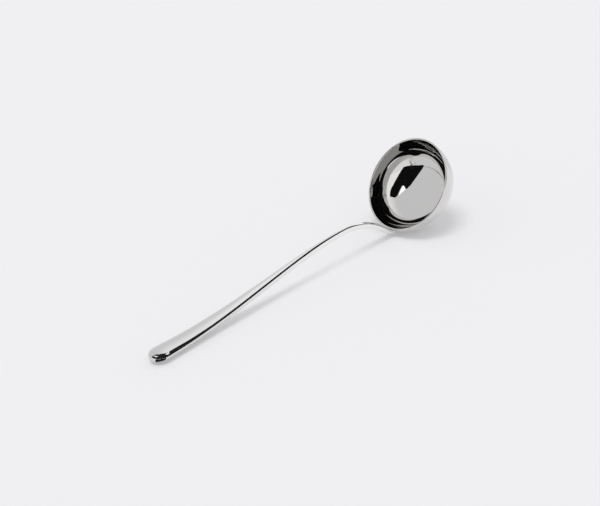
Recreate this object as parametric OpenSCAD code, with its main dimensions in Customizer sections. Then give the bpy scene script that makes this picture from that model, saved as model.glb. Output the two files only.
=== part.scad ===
// Soup ladle, lying at rest on a table.
// A deep drawn bowl hangs on a solid forged handle. The rounded end of the handle
// is seated on the outside of the bowl wall, where two weld nuggets join them.
// Z = 0 is the table, Y = 0 is the plane of symmetry and +X runs towards the bowl.

/* [Bowl] */
// Outside diameter of the bowl at the rim
bowl_d = 81; // [60:1:110]
// Outside depth of the bowl, from the rim to the base
bowl_depth = 30.4; // [24:0.2:45]
// Thickness of the sheet that the bowl is drawn from
bowl_wall = 1.5; // [1.2:0.1:2.4]
// Flatness of the base, where 2 is an ellipse and more is flatter
base_flatness = 2.95; // [2:0.05:3.2]
// Uprightness of the side, where 2 is an ellipse and more is more upright
side_fullness = 2.4; // [2:0.05:2.8]
// Share of the depth by which the side draws in towards the base
side_draft = 0.09; // [0:0.01:0.12]
// Radius of the eased edges of the rim
rim_round = 0.55; // [0.2:0.05:0.55]
// Lean of the mouth back from upright
bowl_lean = 37.5; // [30:0.5:50]

/* [Grip] */
// Width of the grip at its widest
grip_w = 18.8; // [12:0.2:24]
// Thickness of the grip at its widest
grip_t = 9.8; // [6:0.2:12]
// Length of the rounded nose, up to the widest place
nose_l = 10.5; // [5:0.5:16]
// Bluntness of the nose seen from the side, where 1 is round and less is blunter
nose_blunt = 0.6; // [0.4:0.05:1]
// Squareness of the grip's section, where 2 is an ellipse
grip_square = 1.85; // [1.8:0.05:3]

/* [Neck] */
// Width of the neck at the crest
neck_w = 3.1; // [3:0.1:8]
// Thickness of the neck at the crest
neck_t = 5.2; // [3:0.1:8]
// Squareness of the neck's section, where 2 is an ellipse
neck_square = 2.7; // [2:0.05:4]
// How fast the width tapers from grip to neck, where 1 is a straight taper
width_taper = 1.6; // [1:0.05:2]
// How early the neck widens towards its end, where 1 is even and less is earlier
neck_flare = 0.4; // [0.3:0.05:1.2]
// Distance from the centre of the rim back to the crest
crest_back = 72.5; // [60:0.5:110]
// Height of the neck's centreline at the crest
crest_h = 25.4; // [18:0.2:40]
// Distance from the widest place of the grip to the crest
handle_run = 191.5; // [120:0.5:240]
// Reach of the curve that leaves the grip level
grip_bend = 69; // [30:1:90]
// Reach of the curve into the crest from the grip side
crest_bend = 56; // [10:1:60]
// Reach of the curve out of the crest towards the bowl
drop_bend = 24; // [8:1:25]
// Reach of the curve that straightens into the wall
root_bend = 9; // [6:1:25]

/* [Root] */
// Width of the handle's end, where it lies on the bowl
root_w = 7.6; // [7.4:0.2:14]
// Thickness of the handle's end, measured out from the wall
root_t = 3.8; // [3:0.1:6]
// Depth below the rim that the handle's end reaches down the wall
root_l = 4.8; // [4.6:0.2:9]
// Depth over which the end rounds off towards the wall
root_nose = 3.6; // [2:0.2:4.2]
// Thickness that is left at the very end
root_tip = 2.2; // [0.8:0.1:2.4]
// Squareness of the section at the end
root_square = 4; // [3:0.25:6]
// Depth that the seat is cut into the end at its centreline
seat_bite = 0.7; // [0.5:0.1:1.1]
// Diameter of a weld nugget
nugget_d = 2.4; // [1.6:0.1:2.8]
// Thickness of a weld nugget, half of it in each piece
nugget_t = 1.2; // [0.6:0.1:1.6]
// Distance between the two nuggets, across the width of the end
nugget_gap = 3.6; // [3.2:0.1:4.4]

/* [Hidden] */

polished_steel = "gainsboro";
weld_grey = "slategray";

wall_steps = 40;
round_steps = 5;
section_sides = 28;
nose_steps = 10;
run_steps = 36;
drop_steps = 18;
root_steps = 8;
turn_fn = 96;
nugget_fn = 32;
nose_from = 4;
small = 0.01;

bowl_r = bowl_d / 2;
inner_r = bowl_r - bowl_wall;
inner_depth = bowl_depth - bowl_wall;

function mix(a, b, k) = a + (b - a) * k;
function ease(k) = k * k * (3 - 2 * k);
function signed_pow(v, e) = sign(v) * pow(abs(v), e);
function unit(v) = v / norm(v);

// Bowl profile, as radius at a depth below the rim
function draft(d, h) = side_draft * d * (1 - pow(d / h, 2));
function wall_r(d) = bowl_r * pow(1 - pow(d / bowl_depth, side_fullness), 1 / base_flatness)
    - draft(d, bowl_depth);
function shell_point(r, h, q) =
    let (d = h * pow(sin(q), 2 / side_fullness))
    [r * pow(cos(q), 2 / base_flatness) - draft(d, h), -d];
function shell_curve(r, h) = [
    for (i = [0 : wall_steps])
        let (p = shell_point(r, h, 90 * i / wall_steps))
        if (p.y < -rim_round - small) [i == wall_steps ? 0 : p.x, p.y]];
function reversed(list) = [for (i = [len(list) - 1 : -1 : 0]) list[i]];
function rim_arc(x, from) = [
    for (i = [0 : round_steps])
        let (q = from + 90 * i / round_steps)
        [x + rim_round * cos(q), rim_round * (sin(q) - 1)]];

// Row frame from the bowl's own frame, whose x runs to the top of the rim and z out of the mouth
function turned(p) = [p.x * sin(bowl_lean) - p.y * cos(bowl_lean),
                      p.x * cos(bowl_lean) + p.y * sin(bowl_lean)];

// Place, direction and outward normal on the outside of the wall, at the handle's side
function wall_slope(d) = (wall_r(d + small) - wall_r(d)) / small;
function wall_place(d) = [-wall_r(d), -d];
function wall_dir(d) = unit([-wall_slope(d), -1]);
function wall_normal(d) = [wall_dir(d).y, -wall_dir(d).x];

// Thickness outside the wall, and depth of the seat, at a depth below the rim
function root_out(d) =
    let (k = max(0, (d - root_l + root_nose) / root_nose))
    root_tip + (root_t - root_tip) * sqrt(max(0, 1 - k * k));
function bite(d) = seat_bite * ease(min(1, d / (root_l / 2)));
function root_centre(d) = wall_place(d) + wall_normal(d) * (root_out(d) - bite(d)) / 2;
function root_foot(d) = turned(wall_place(d) + wall_normal(d) * root_out(d)).y;

// Height of the rim's centre, from whichever touches the table first
bowl_reach = max([for (p = shell_curve(bowl_r, bowl_depth)) p.x * cos(bowl_lean) - p.y * sin(bowl_lean)]);
root_reach = -min([for (i = [0 : root_steps]) root_foot(root_l * i / root_steps)]);
rim_h = max(bowl_reach, root_reach);

crest_x = -crest_back;
grip_x = crest_x - handle_run;
tip_x = grip_x - nose_l;
far_x = max([for (p = shell_curve(bowl_r, bowl_depth)) p.x * sin(bowl_lean) - p.y * cos(bowl_lean)]);
centre_x = (tip_x + far_x) / 2;
root = turned(root_centre(0)) + [0, rim_h];

grip_curve = [[grip_x, grip_t / 2], [grip_x + grip_bend, grip_t / 2],
              [crest_x - crest_bend, crest_h], [crest_x, crest_h]];
drop_curve = [[crest_x, crest_h], [crest_x + drop_bend, crest_h],
              root + root_bend * [-cos(bowl_lean), sin(bowl_lean)], root];

function bezier(c, t) = c[0] * pow(1 - t, 3) + 3 * c[1] * t * pow(1 - t, 2)
    + 3 * c[2] * t * t * (1 - t) + c[3] * pow(t, 3);
function bezier_dir(c, t) = unit((c[1] - c[0]) * pow(1 - t, 2)
    + 2 * (c[2] - c[1]) * t * (1 - t) + (c[3] - c[2]) * t * t);

// A station is [place, direction, half width, half thickness, squareness]
nose_stations = [
    for (i = [0 : nose_steps - 1])
        let (q = mix(nose_from, 90, i / nose_steps))
        [[grip_x - nose_l * cos(q), grip_t / 2], [1, 0],
         grip_w / 2 * sin(q), grip_t / 2 * pow(sin(q), nose_blunt), grip_square]];
grip_stations = [
    for (i = [0 : run_steps])
        let (t = i / run_steps, p = bezier(grip_curve, t), k = (p.x - grip_x) / handle_run)
        [p, bezier_dir(grip_curve, t),
         mix(neck_w, grip_w, pow(1 - k, width_taper)) / 2, mix(grip_t, neck_t, k) / 2,
         mix(grip_square, neck_square, k * k)]];
drop_stations = [
    for (i = [1 : drop_steps])
        let (t = i / drop_steps, k = ease(t))
        [bezier(drop_curve, t), bezier_dir(drop_curve, t),
         mix(neck_w, root_w, pow(k, neck_flare)) / 2, mix(neck_t, root_t, k) / 2,
         mix(neck_square, root_square, k)]];
root_stations = [
    for (i = [1 : root_steps])
        let (d = root_l * sin(90 * i / root_steps))
        [turned(root_centre(d)) + [0, rim_h], turned(wall_dir(d)),
         root_w / 2, (root_out(d) + bite(d)) / 2, root_square]];
stations = concat(nose_stations, grip_stations, drop_stations, root_stations);

// Ring of points round a station, in the plane across its direction
function ring(s) = [
    for (i = [0 : section_sides - 1])
        let (q = 360 * i / section_sides,
             side = s[2] * signed_pow(cos(q), 2 / s[4]),
             up = s[3] * signed_pow(sin(q), 2 / s[4]))
        [s[0].x - s[1].y * up, side, s[0].y + s[1].x * up]];

// Closed skin through a list of stations
module sweep(list) {
    n = section_sides;
    last = (len(list) - 1) * n;
    sides = [
        for (j = [0 : len(list) - 2])
            for (i = [0 : n - 1])
                let (a = j * n + i, b = j * n + (i + 1) % n)
                each [[a, b, b + n], [a, b + n, a + n]]];
    start = [[for (i = [0 : n - 1]) n - 1 - i]];
    end = [[for (i = [0 : n - 1]) last + i]];
    polyhedron(points = [for (s = list) each ring(s)], faces = concat(start, sides, end));
}

// Places the bowl's own frame in the row frame
module at_bowl() {
    translate([0, 0, rim_h]) rotate([0, bowl_lean - 90, 0]) children();
}

// The bowl as a solid, which the seat is cut with
module bowl_form() {
    rotate_extrude($fn = turn_fn)
        polygon(concat([[0, 0]], reversed(rim_arc(bowl_r - rim_round, 0)),
                       shell_curve(bowl_r, bowl_depth)));
}

// The two nuggets, side by side on the outside of the wall
module nuggets() {
    d = root_l / 2;
    p = wall_place(d);
    v = wall_normal(d);
    for (k = [-1, 1])
        rotate([0, 0, k * asin(nugget_gap / 2 / wall_r(d))])
            translate([p.x, 0, p.y]) rotate([0, atan2(v.x, v.y), 0])
                cylinder(d = nugget_d, h = nugget_t, center = true, $fn = nugget_fn);
}

module bowl() {
    color(polished_steel)
        translate([-centre_x, 0, 0]) at_bowl() difference() {
            rotate_extrude($fn = turn_fn)
                polygon(concat(rim_arc(inner_r + rim_round, 90),
                               shell_curve(inner_r, inner_depth),
                               reversed(shell_curve(bowl_r, bowl_depth)),
                               rim_arc(bowl_r - rim_round, 0)));
            nuggets();
        }
}

module handle() {
    color(polished_steel)
        translate([-centre_x, 0, 0]) difference() {
            sweep(stations);
            at_bowl() bowl_form();
            at_bowl() nuggets();
        }
}

module weld_nuggets() {
    color(weld_grey) translate([-centre_x, 0, 0]) at_bowl() nuggets();
}

bowl();
handle();
weld_nuggets();
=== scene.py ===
"""Soup ladle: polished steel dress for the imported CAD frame, on a pale table."""

import math

import bpy
import numpy as np
from mathutils import Matrix, Vector


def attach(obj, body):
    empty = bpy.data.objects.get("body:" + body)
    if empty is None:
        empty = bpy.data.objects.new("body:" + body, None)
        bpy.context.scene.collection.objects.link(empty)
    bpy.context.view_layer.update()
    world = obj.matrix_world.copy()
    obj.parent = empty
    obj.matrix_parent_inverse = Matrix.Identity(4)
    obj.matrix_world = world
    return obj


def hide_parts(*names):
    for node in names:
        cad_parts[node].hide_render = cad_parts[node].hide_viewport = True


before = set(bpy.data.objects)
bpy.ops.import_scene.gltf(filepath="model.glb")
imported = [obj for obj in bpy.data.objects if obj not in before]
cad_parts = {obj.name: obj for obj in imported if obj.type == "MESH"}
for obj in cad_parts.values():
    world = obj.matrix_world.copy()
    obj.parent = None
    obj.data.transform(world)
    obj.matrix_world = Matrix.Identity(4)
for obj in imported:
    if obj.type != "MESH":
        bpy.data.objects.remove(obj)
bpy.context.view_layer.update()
scene = bpy.context.scene

# Sizes of the part's source, in mm
BOWL_R, BOWL_H, WALL = 40.5, 30.4, 1.5
BASE_FLAT, SIDE_FULL, DRAFT = 2.95, 2.4, 0.09
LEAN = math.radians(37.5)
GRIP_W, GRIP_T, NOSE_L, BLUNT, GRIP_SQ = 18.8, 9.8, 10.5, 0.6, 1.85
NECK_W, NECK_T, NECK_SQ, TAPER, FLARE = 3.1, 5.2, 2.7, 1.6, 0.4
CREST_BACK, CREST_H, RUN = 72.5, 25.4, 191.5
GRIP_BEND, CREST_BEND, DROP_BEND, ROOT_BEND = 69.0, 56.0, 24.0, 9.0
ROOT_W, ROOT_T, ROOT_L, ROOT_NOSE = 7.6, 3.8, 4.8, 3.6
ROOT_TIP, ROOT_SQ, BITE = 2.2, 4.0, 0.7
# Angle at which the source's nose begins
NOSE_FROM = math.radians(4)
# The lip is rounded a little more than in the source, which has 0.55
LIP_R = 0.7
SL, CL = math.sin(LEAN), math.cos(LEAN)
QUARTER = math.pi / 2
MM = 0.001

# Fineness of the meshes
PROFILE_POINTS = 6000
BOWL_AROUND, BOWL_ALONG, LIP_ALONG = 288, 120, 12
HANDLE_AROUND = 144
NOSE_RINGS, GRIP_RINGS, DROP_RINGS, ROOT_RINGS = 48, 260, 120, 40


def mix(a, b, k):
    return a + (b - a) * k


def ease(k):
    return k * k * (3 - 2 * k)


def shell_profile(r, h):
    """Outline of half the bowl, as radius and height, from the rim down to the base."""
    q = np.linspace(0, QUARTER, PROFILE_POINTS)
    d = h * np.sin(q) ** (2 / SIDE_FULL)
    x = r * np.cos(q) ** (2 / BASE_FLAT) - DRAFT * d * (1 - (d / h) ** 2)
    return np.stack([np.maximum(x, 0), -d], 1)


# X counts from the rim's centre, and to_row moves it to the middle of the ladle
OUTER = shell_profile(BOWL_R, BOWL_H)
INNER = shell_profile(BOWL_R - WALL, BOWL_H - WALL)
RIM_Z = (OUTER[:, 0] * CL - OUTER[:, 1] * SL).max()
FAR_X = (OUTER[:, 0] * SL - OUTER[:, 1] * CL).max()
CREST_X = -CREST_BACK
GRIP_X = CREST_X - RUN
CENTRE_X = (GRIP_X - NOSE_L + FAR_X) / 2


def turned(x, y):
    """X and Z of a direction given in the bowl's own profile frame."""
    return np.array([x * SL - y * CL, x * CL + y * SL])


def bowl_point(x, y):
    """X and Z of a point given in the bowl's own profile frame."""
    return turned(x, y) + np.array([0, RIM_Z])


def to_row(x, y, z):
    """A point of the row frame, in metres."""
    return Vector(((x - CENTRE_X) * MM, y * MM, z * MM))


def new_object(name, verts, faces, smooth=False):
    mesh = bpy.data.meshes.new(name)
    mesh.from_pydata([tuple(v) for v in verts], [], faces)
    mesh.update()
    if smooth:
        mesh.polygons.foreach_set("use_smooth", [True] * len(mesh.polygons))
    obj = bpy.data.objects.new(name, mesh)
    scene.collection.objects.link(obj)
    return obj


def skin(rings, around):
    """Faces from each ring of vertices to the next."""
    faces = []
    for j in range(rings - 1):
        for i in range(around):
            a, b = j * around + i, j * around + (i + 1) % around
            faces.append((a, b, b + around, a + around))
    return faces


# Camera, as fitted to the photo. Lengths are in mm from the rim's centre
FOCAL_PX, PHOTO_W_PX, SENSOR = 1200.0, 600, 36
CAM_AWAY, CAM_RIGHT, CAM_UP = 1023.28, -96.28, -10.50
CAM_TURN, CAM_TILT, CAM_ROLL = 38.83, 26.20, -7.80


def place_camera():
    turn, tilt, roll = (math.radians(a) for a in (CAM_TURN, CAM_TILT, CAM_ROLL))
    ct, st = math.cos(turn), math.sin(turn)
    ce, se = math.cos(tilt), math.sin(tilt)
    back = Matrix(((ct, st, 0), (-st, ct, 0), (0, 0, 1)))
    place = back @ Vector((CAM_RIGHT, CAM_UP * se - CAM_AWAY * ce, CAM_UP * ce + CAM_AWAY * se))
    right = back @ Vector((1, 0, 0))
    up = back @ Vector((0, se, ce))
    ahead = back @ Vector((0, ce, -se))
    r = right * math.cos(roll) + up * math.sin(roll)
    u = -right * math.sin(roll) + up * math.cos(roll)
    data = bpy.data.cameras.new("camera")
    data.sensor_width = SENSOR
    data.lens = FOCAL_PX / PHOTO_W_PX * SENSOR
    data.clip_start, data.clip_end = 0.05, 60
    cam = bpy.data.objects.new("camera", data)
    scene.collection.objects.link(cam)
    place = to_row(*place)
    cam.matrix_world = Matrix(((r.x, u.x, -ahead.x, place.x), (r.y, u.y, -ahead.y, place.y),
                               (r.z, u.z, -ahead.z, place.z), (0, 0, 0, 1)))
    scene.camera = cam


# Bowl
def even(points, n):
    """The same open curve with n points, evenly spaced along its length."""
    d = np.r_[0, np.cumsum(np.hypot(*np.diff(points, axis=0).T))]
    s = np.linspace(0, d[-1], n)
    return np.stack([np.interp(s, d, points[:, i]) for i in (0, 1)], 1)


def make_bowl():
    """The outer wall from the base up, over the lip, and down the inner wall."""
    inner = even(INNER[INNER[:, 1] < -LIP_R], BOWL_ALONG)
    outer = even(OUTER[OUTER[:, 1] < -LIP_R], BOWL_ALONG)
    arc = np.linspace(0, QUARTER, LIP_ALONG)
    lip_y = LIP_R * (np.sin(arc) - 1)
    lip_out = np.stack([outer[0, 0] - LIP_R + LIP_R * np.cos(arc), lip_y], 1)
    lip_in = np.stack([inner[0, 0] + LIP_R - LIP_R * np.cos(arc), lip_y], 1)
    profile = np.concatenate([outer[::-1][1:-1], lip_out, lip_in[::-1], inner[1:-1]])
    verts = []
    for r, y in profile:
        for i in range(BOWL_AROUND):
            a = 2 * math.pi * i / BOWL_AROUND
            x, z = bowl_point(r * math.cos(a), y)
            verts.append(to_row(x, r * math.sin(a), z))
    rings = len(profile)
    faces = skin(rings, BOWL_AROUND)
    # One point in the middle of the base closes each wall
    for y, ring, inside in ((-BOWL_H, 0, False), (-(BOWL_H - WALL), rings - 1, True)):
        x, z = bowl_point(0, y)
        verts.append(to_row(x, 0, z))
        c = len(verts) - 1
        for i in range(BOWL_AROUND):
            a, b = ring * BOWL_AROUND + i, ring * BOWL_AROUND + (i + 1) % BOWL_AROUND
            faces.append((c, a, b) if inside else (c, b, a))
    return new_object("bowl_shell", verts, faces, smooth=True)


# Handle. The depth d is measured from the rim, down the bowl's axis
def wall_r(d):
    """Outer radius of the bowl."""
    full = BOWL_R * (1 - (d / BOWL_H) ** SIDE_FULL) ** (1 / BASE_FLAT)
    return full - DRAFT * d * (1 - (d / BOWL_H) ** 2)


def wall_dir(d, step=0.01):
    """Direction down the bowl's outer wall."""
    v = np.array([-(wall_r(d + step) - wall_r(d)) / step, -1.0])
    return v / np.hypot(*v)


def bite(d):
    """How far the handle's end is let into the wall, before the wall is cut out of it."""
    return BITE * ease(min(1, d / (ROOT_L / 2)))


def root_out(d):
    """How far the handle's end stands out from the wall."""
    k = max(0.0, (d - ROOT_L + ROOT_NOSE) / ROOT_NOSE)
    return ROOT_TIP + (ROOT_T - ROOT_TIP) * math.sqrt(max(0.0, 1 - k * k))


def root_centre(d):
    v = wall_dir(d)
    outward = np.array([v[1], -v[0]])
    return np.array([-wall_r(d), -d]) + outward * (root_out(d) - bite(d)) / 2


def bezier(c, t):
    u = 1 - t
    return c[0] * u ** 3 + 3 * c[1] * t * u ** 2 + 3 * c[2] * t * t * u + c[3] * t ** 3


def bezier_dir(c, t):
    u = 1 - t
    v = (c[1] - c[0]) * u ** 2 + 2 * (c[2] - c[1]) * t * u + (c[3] - c[2]) * t * t
    return v / np.hypot(*v)


def handle_stations():
    """The rings of the handle. Each row holds X and Z of the centre and of the direction, half the
    width, half the thickness, and the section's squareness."""
    root = bowl_point(*root_centre(0))
    crest = np.array((CREST_X, CREST_H))
    grip = [np.array((GRIP_X, GRIP_T / 2)), np.array((GRIP_X + GRIP_BEND, GRIP_T / 2)),
            np.array((CREST_X - CREST_BEND, CREST_H)), crest]
    drop = [crest, np.array((CREST_X + DROP_BEND, CREST_H)),
            root + ROOT_BEND * np.array((-CL, SL)), root]
    rows = []
    # The nose ends a hair inside the source's, and its rings crowd towards the tip
    inset, shift, crowd = 0.002, 0.35, 1.6
    nose = NOSE_L * math.cos(NOSE_FROM) - inset
    for i in range(NOSE_RINGS):
        q = QUARTER * ((i + shift) / NOSE_RINGS) ** crowd
        rows.append((GRIP_X - nose * math.cos(q), GRIP_T / 2, 1, 0, GRIP_W / 2 * math.sin(q),
                     GRIP_T / 2 * math.sin(q) ** BLUNT, GRIP_SQ))
    for i in range(GRIP_RINGS + 1):
        p, v = bezier(grip, i / GRIP_RINGS), bezier_dir(grip, i / GRIP_RINGS)
        k = min(max((p[0] - GRIP_X) / RUN, 0), 1)
        rows.append((*p, *v, mix(NECK_W, GRIP_W, (1 - k) ** TAPER) / 2,
                     mix(GRIP_T, NECK_T, k) / 2, mix(GRIP_SQ, NECK_SQ, k * k)))
    for i in range(1, DROP_RINGS + 1):
        p, v = bezier(drop, i / DROP_RINGS), bezier_dir(drop, i / DROP_RINGS)
        k = ease(i / DROP_RINGS)
        rows.append((*p, *v, mix(NECK_W, ROOT_W, k ** FLARE) / 2,
                     mix(NECK_T, ROOT_T, k) / 2, mix(NECK_SQ, ROOT_SQ, k)))
    for i in range(1, ROOT_RINGS + 1):
        d = ROOT_L * math.sin(QUARTER * i / ROOT_RINGS)
        p, v = bowl_point(*root_centre(d)), turned(*wall_dir(d))
        rows.append((*p, *v, ROOT_W / 2, (root_out(d) + bite(d)) / 2, ROOT_SQ))
    return np.array(rows)


def soften(rows):
    """Takes the slight break out of the width and thickness where the nose meets the grip."""
    spread, fade = 2.2, 7
    changed, before, after = 30, 40, 60
    s = np.r_[0, np.cumsum(np.hypot(np.diff(rows[:, 0]), np.diff(rows[:, 1])))]
    gap = np.gradient(s)
    for col in (4, 5):
        old = rows[:, col].copy()
        for i in range(NOSE_RINGS - changed, NOSE_RINGS + changed):
            reach = spread * max(0.0, 1 - abs(s[i] - s[NOSE_RINGS]) / fade) + 1e-3
            lo, hi = max(0, i - before), i + after
            w = np.exp(-0.5 * ((s[lo:hi] - s[i]) / reach) ** 2) * gap[lo:hi]
            rows[i, col] = (old[lo:hi] * w).sum() / w.sum()
    return rows


def section(w, t, n):
    """Points of a superellipse at even steps of the normal's angle."""
    a = 2 * math.pi * (np.arange(HANDLE_AROUND) + 0.5) / HANDLE_AROUND
    c, s = np.abs(np.cos(a)), np.abs(np.sin(a))
    e = 1 / (n - 1)
    d = ((w * c) ** (n * e) + (t * s) ** (n * e)) ** (1 / n)
    return np.sign(np.cos(a)) * w * (w * c) ** e / d, np.sign(np.sin(a)) * t * (t * s) ** e / d


def make_handle():
    rows = soften(handle_stations())
    verts = []
    for x, z, dx, dz, w, t, n in rows:
        for side, up in zip(*section(w, t, n)):
            verts.append(to_row(x - dz * up, side, z + dx * up))
    faces = skin(len(rows), HANDLE_AROUND)
    faces.append(tuple(range(HANDLE_AROUND - 1, -1, -1)))
    faces.append(tuple(range((len(rows) - 1) * HANDLE_AROUND, len(rows) * HANDLE_AROUND)))
    return new_object("handle_bar", verts, faces, smooth=True)


# Materials
def new_material(name):
    mat = bpy.data.materials.new(name)
    mat.use_nodes = True
    return mat, mat.node_tree


def node(tree, kind, **inputs):
    n = tree.nodes.new(kind)
    for key, value in inputs.items():
        n.inputs[key.replace("_", " ")].default_value = value
    return n


def maths(tree, operation, *inputs):
    """A math node whose inputs are numbers or outputs of other nodes."""
    n = tree.nodes.new("ShaderNodeMath")
    n.operation = operation
    for socket, value in zip(n.inputs, inputs):
        if isinstance(value, float):
            socket.default_value = value
        else:
            tree.links.new(value, socket)
    return n.outputs[0]


def map_range(tree, source, a0, a1, b0, b1, smooth=False):
    n = node(tree, "ShaderNodeMapRange", From_Min=a0, From_Max=a1, To_Min=b0, To_Max=b1)
    if smooth:
        n.interpolation_type = "SMOOTHSTEP"
    tree.links.new(source, n.inputs["Value"])
    return n.outputs["Result"]


def noise(tree, where, scale, detail, roughness):
    n = node(tree, "ShaderNodeTexNoise", Scale=scale, Detail=detail, Roughness=roughness)
    tree.links.new(where, n.inputs["Vector"])
    return n.outputs["Fac"]


def object_place(tree):
    """Object coordinates, whole and as separate axes."""
    where = tree.nodes.new("ShaderNodeTexCoord").outputs["Object"]
    axes = tree.nodes.new("ShaderNodeSeparateXYZ")
    tree.links.new(where, axes.inputs[0])
    return where, axes.outputs


# Smears left by polish and handling, and micro scratches: scale, detail and roughness of the noise
SMEARS = (38.0, 5.0, 0.6)
SCRATCHES = (2600.0, 3.0, 0.7)
# How far the smears shift the colour, as a share of the way from the low-X colour to the high-X
# colour
SMEAR_TINT = 0.06
# Roughness where smears are weakest and strongest, and what scratches add, times the steel's own
SMOOTHEST, ROUGHEST, SCRATCHED = 0.55, 1.5, 0.5
BUMP_DEPTH = 0.0001


def steel(name, low_x_colour, high_x_colour, span, rough, scale=1.0, grain=(1, 1, 1), bump=0.02):
    """Polished steel: colour, roughness and fine scratches vary over the surface.
    The colour goes from the first given colour to the second along X, over the span in metres. On
    the handle this is a painted brightening towards the bowl, standing in for its brighter
    reflections there; on the bowl and the weld the colour just grows lighter towards +X."""
    mat, t = new_material(name)
    bsdf = t.nodes["Principled BSDF"].inputs
    bsdf["Metallic"].default_value = 1.0
    where, axes = object_place(t)
    smear = noise(t, where, SMEARS[0] * scale, *SMEARS[1:])
    lay = node(t, "ShaderNodeMapping", Scale=grain)
    t.links.new(where, lay.inputs["Vector"])
    scratch = noise(t, lay.outputs["Vector"], SCRATCHES[0] * scale, *SCRATCHES[1:])

    # Ramp along X: on the handle a painted brightening towards the bowl
    along = map_range(t, axes["X"], span[0], span[1], 0.0, 1.0, smooth=True)
    shift = map_range(t, smear, 0.3, 0.7, -SMEAR_TINT, SMEAR_TINT)
    tint = t.nodes.new("ShaderNodeMix")
    tint.data_type = "RGBA"
    t.links.new(maths(t, "ADD", shift, along), tint.inputs[0])
    tint.inputs[6].default_value = (*low_x_colour, 1)
    tint.inputs[7].default_value = (*high_x_colour, 1)
    t.links.new(tint.outputs[2], bsdf["Base Color"])

    worn = map_range(t, smear, 0.3, 0.75, rough * SMOOTHEST, rough * ROUGHEST)
    t.links.new(maths(t, "MULTIPLY_ADD", scratch, rough * SCRATCHED, worn), bsdf["Roughness"])
    dents = node(t, "ShaderNodeBump", Strength=bump, Distance=BUMP_DEPTH)
    t.links.new(scratch, dents.inputs["Height"])
    t.links.new(dents.outputs["Normal"], bsdf["Normal"])
    return mat


def flat_light(name, level):
    mat, t = new_material(name)
    t.nodes.clear()
    out = t.nodes.new("ShaderNodeOutputMaterial")
    glow = node(t, "ShaderNodeEmission", Color=(1, 1, 1, 1), Strength=level)
    t.links.new(glow.outputs[0], out.inputs["Surface"])
    return mat


# Studio, in metres and in degrees of azimuth and height. The table is as pale as the photo's
PALE = (0.871, 0.867, 0.885)
TABLE_HALF = 8.0
# Share of the table's brightness that it gives off by itself, a painted glow that lightens the
# shadows on it
LIFT = 0.23
# The metal sees the front of the table lighter by this, a painted glow seen only in the metal,
# fully so from this far in front of Y = 0
FLOOR_GAIN, FLOOR_FRONT = 0.20, 0.03
# The tent in the metal: its levels behind and in front, the cosines between which it brightens,
# and where its front is
TENT, TENT_SPAN, TENT_FRONT = (0.84, 1.12), (0.05, 0.6), (330, 10)
# The key lamp's share of the light on the table, where it stands, and how wide it is
KEY_SHARE, KEY_TOWARD, KEY_WIDTH = 0.30, (-0.22, -0.06, 1.0), 26

# Points that far cards are laid out from: in the bowl, in the handle's middle, in the grip's end
BOWL_EYE = (0.1187, 0.0, 0.030)
GRIP_EYE = (-0.05, 0.0, 0.012)
NOSE_EYE = (-0.15, 0.0, 0.005)
DARK, BLACK = 0.006, 0.02
# Straight pieces that each edge of a far card is bent from
CARD_STEPS = 6

# Far cards: name, level, distance, eye, hub and outline
CARDS = (
    ("opening_front", DARK, 5.0, BOWL_EYE, (208, 28),
     [(161, 30), (163, 37), (170, 43), (177, 45), (186, 42), (200, 41), (205, 47), (210, 53),
      (216, 58.5), (228, 61.5), (240, 62), (252, 59.5), (263, 55), (272, 51.5), (268, 46),
      (262, 40), (255, 35), (245, 30), (238, 24), (232, 18), (226, 10), (221, 2), (217, -5),
      (190, -5), (170, -5), (160, -5), (160.5, 2.5)]),
    ("lamp", 2.0, 4.9, BOWL_EYE, (194, 48), [(194.5, 40.2), (177.1, 45.4), (209, 60)]),
    ("panel", 1.18, 5.3, BOWL_EYE, (262, 20),
     [(218, -4), (226, 10), (232, 18), (245, 30), (262, 40), (271, 50), (291, 51), (292, -4)]),
    ("far_edge", 0.25, 5.2, BOWL_EYE, (143.5, 5.5),
     [(160, 3.4), (143.5, 5.0), (131.2, 7.4), (119, 6.9), (119, 7.9), (131.2, 8.4), (143.5, 6.0),
      (160, 4.4)]),
    ("opening_side", BLACK, 5.0, GRIP_EYE, (308, 25),
     [(293, -2), (293, 34), (303, 44), (308, 47.5), (313, 52), (320, 55), (328, 58), (338, 60),
      (341, 54), (326, 30), (318, -2)]),
    # Small black flags beside and above the end of the grip darken its face round the lamp
    ("flag_side", BLACK, 0.062, NOSE_EYE, (266, 25),
     [(232, -3), (232, 57), (301, 57), (301, -3)]),
    ("flag_top", BLACK, 0.070, NOSE_EYE, (245, 74),
     [(150, 57), (190, 60), (232, 58), (280, 57), (326, 56), (322, 82), (240, 86), (155, 84)]),
)
# Cards over the table: name, level, height, and outline in mm of the row frame
FLOOR_CARDS = (
    # Seen only in the metal, a black sheet on the table beside the grip's end paints the contact
    # shadow into the grip's reflection of the table
    ("flag_foot", BLACK, 0.0003,
     [(-154.0, -2.5), (-151.5, -6.0), (-147.5, -8.0), (-142.0, -60.0), (-185.0, -55.0),
      (-210.0, -20.0)]),
    # Seen only in the metal, a dark sheet over the table in front of and beyond the grip's end
    # paints a dark reflection along the handle's near side
    ("dark_mat", DARK, 0.0004,
     [(-83, -134), (-178, -91), (-664, -19), (-5800, 900), (-6000, -1500), (-4500, -3800)]),
)


def direction(azimuth, height):
    a, h = math.radians(azimuth), math.radians(height)
    return Vector((math.cos(h) * math.cos(a), math.cos(h) * math.sin(a), math.sin(h)))


def new_card(name, verts, faces, level):
    """A studio card that is seen in the metal only."""
    obj = new_object(name, verts, faces)
    obj.data.materials.append(flat_light(name, level))
    obj.visible_camera = False
    obj.visible_diffuse = False
    obj.visible_shadow = False


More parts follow.
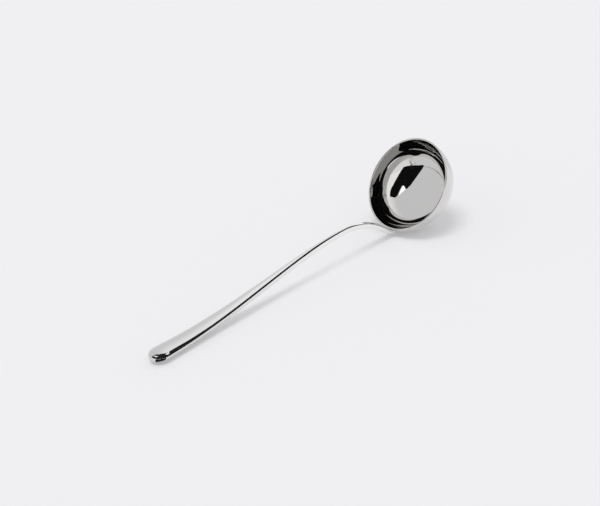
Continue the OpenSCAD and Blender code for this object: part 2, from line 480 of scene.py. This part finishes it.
def far_card(name, level, reach, eye, hub, outline):
    eye = Vector(eye)
    pts = []
    for (a, b), (c, d) in zip(outline, outline[1:] + outline[:1]):
        for k in range(CARD_STEPS):
            pts.append((mix(a, c, k / CARD_STEPS), mix(b, d, k / CARD_STEPS)))
    n = len(pts)
    verts = [eye + direction(*p) * reach for p in (*pts, hub)]
    new_card(name, verts, [(n, i, (i + 1) % n) for i in range(n)], level)


def floor_card(name, level, height, outline):
    verts = [(x * MM, y * MM, height) for x, y in outline]
    new_card(name, verts, [tuple(range(len(verts)))], level)


def in_metal(tree, camera=True):
    """Signal that is one where the ray comes from the metal, or also from the camera."""
    rays = tree.nodes.new("ShaderNodeLightPath").outputs
    seen = maths(tree, "MAXIMUM", rays["Is Glossy Ray"], rays["Is Transmission Ray"])
    return maths(tree, "MAXIMUM", seen, rays["Is Camera Ray"]) if camera else seen


def make_table():
    h = TABLE_HALF
    table = new_object("table", [(-h, -h, 0), (h, -h, 0), (h, h, 0), (-h, h, 0)], [(0, 1, 2, 3)])
    mat, t = new_material("table_white")
    bsdf = t.nodes["Principled BSDF"].inputs
    bsdf["Base Color"].default_value = (*[(1 - LIFT) * c for c in PALE], 1)
    bsdf["Roughness"].default_value = 0.9
    bsdf["Specular IOR Level"].default_value = 0.0
    # The table's emission is painted light: a glow of its own that lightens the shadows on it, and
    # more at the front for rays from the metal
    bsdf["Emission Color"].default_value = (*PALE, 1)
    y = object_place(t)[1]["Y"]
    front = map_range(t, y, FLOOR_FRONT, -FLOOR_FRONT, 0.0, FLOOR_GAIN, smooth=True)
    glow = maths(t, "MULTIPLY_ADD", front, in_metal(t, camera=False), LIFT)
    t.links.new(glow, bsdf["Emission Strength"])
    table.data.materials.append(mat)


def make_tent():
    """An even fill for the table, and for the metal a pale tent that is brighter in front."""
    world = bpy.data.worlds.new("studio")
    scene.world = world
    world.use_nodes = True
    t = world.node_tree
    t.nodes.clear()
    out = t.nodes.new("ShaderNodeOutputWorld")
    fill = node(t, "ShaderNodeBackground", Color=(1, 1, 1, 1), Strength=1 - KEY_SHARE)
    show = node(t, "ShaderNodeBackground", Color=(*[c / PALE[2] for c in PALE], 1))
    where = t.nodes.new("ShaderNodeTexCoord")
    dot = t.nodes.new("ShaderNodeVectorMath")
    dot.operation = "DOT_PRODUCT"
    t.links.new(where.outputs["Generated"], dot.inputs[0])
    dot.inputs[1].default_value = tuple(direction(*TENT_FRONT))
    # To the camera the backdrop is as pale as the table
    level = t.nodes.new("ShaderNodeMix")
    path = t.nodes.new("ShaderNodeLightPath")
    t.links.new(path.outputs["Is Camera Ray"], level.inputs[0])
    t.links.new(map_range(t, dot.outputs["Value"], *TENT_SPAN, *TENT, smooth=True), level.inputs[2])
    level.inputs[3].default_value = PALE[2]
    t.links.new(level.outputs[0], show.inputs["Strength"])
    pick = t.nodes.new("ShaderNodeMixShader")
    t.links.new(in_metal(t), pick.inputs["Fac"])
    t.links.new(fill.outputs[0], pick.inputs[1])
    t.links.new(show.outputs[0], pick.inputs[2])
    t.links.new(pick.outputs[0], out.inputs["Surface"])


def make_key():
    """A broad lamp high above, a little to the grip's side."""
    sun = bpy.data.lights.new("key", "SUN")
    toward = Vector(KEY_TOWARD).normalized()
    sun.energy = KEY_SHARE * math.pi / toward.z
    sun.angle = math.radians(KEY_WIDTH)
    lamp = bpy.data.objects.new("key", sun)
    scene.collection.objects.link(lamp)
    lamp.rotation_euler = toward.to_track_quat("Z", "Y").to_euler()
    lamp.visible_glossy = False


# Build
place_camera()
bowl = make_bowl()
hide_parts("bowl")
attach(bowl, "root")
handle = make_handle()
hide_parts("handle")
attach(handle, "root")

bowl.data.materials.append(
    steel("bowl_polish", (0.615, 0.607, 0.592), (0.632, 0.626, 0.612), (0.07, 0.16), 0.03))
# The handle's colour grows lighter from the grip's end towards the bowl: a painted brightening that
# stands in for its brighter reflections nearer the bowl
handle.data.materials.append(
    steel("handle_polish_painted_sheen", (0.665, 0.66, 0.65), (0.785, 0.78, 0.77), (-0.15, 0.03), 0.035,
          grain=(0.06, 1, 1)))
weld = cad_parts["weld_nuggets"]
weld.data.materials.clear()
weld.data.materials.append(
    steel("weld_heat", (0.38, 0.37, 0.38), (0.46, 0.45, 0.46), (0.08, 0.10), 0.35,
          scale=3.0, bump=0.3))

make_table()
make_tent()
make_key()
for row in CARDS:
    far_card(*row)
for row in FLOOR_CARDS:
    floor_card(*row)
scene.view_settings.view_transform = "Standard"

bpy.context.view_layer.update()
